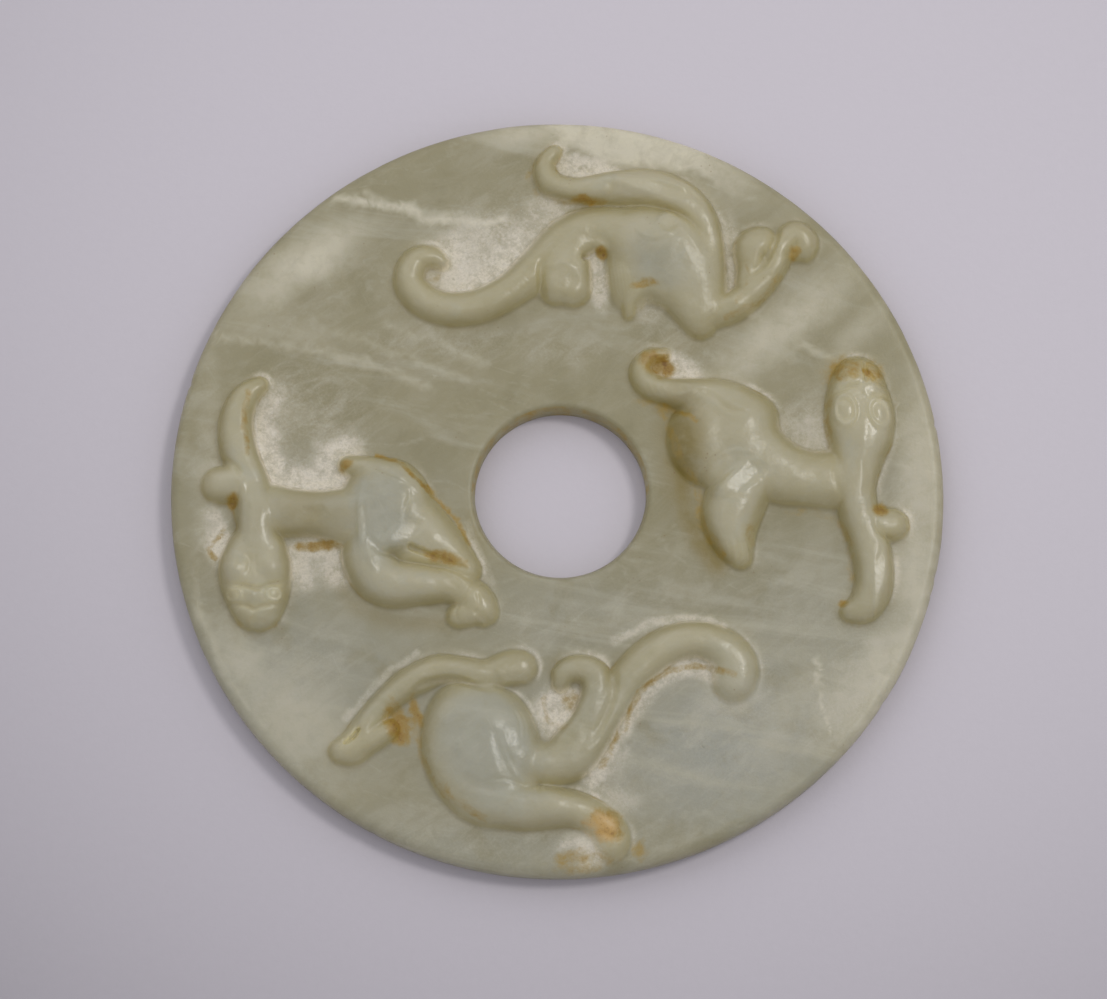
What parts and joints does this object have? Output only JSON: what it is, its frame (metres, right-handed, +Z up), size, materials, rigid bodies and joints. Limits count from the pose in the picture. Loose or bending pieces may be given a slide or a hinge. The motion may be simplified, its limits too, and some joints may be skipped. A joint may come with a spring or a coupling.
{
  "type": "jade bi disc",
  "caption": "Flat round jade disc with a round central hole, its upper face carved with young dragons in high relief.",
  "frame": {"origin": "middle of the underside", "axes": "+Z up through the hole and out of the carved face, +Y towards the top of the design, +X to its right"},
  "size_m": [0.12, 0.12, 0.0094],
  "materials": {
    "jade": "waxy polish on the relief over a satin ground, pale grey-green with brown stains"
  },
  "bodies": {
    "root": {"jade_bi_disc": "jade"}
  },
  "joints": []
}
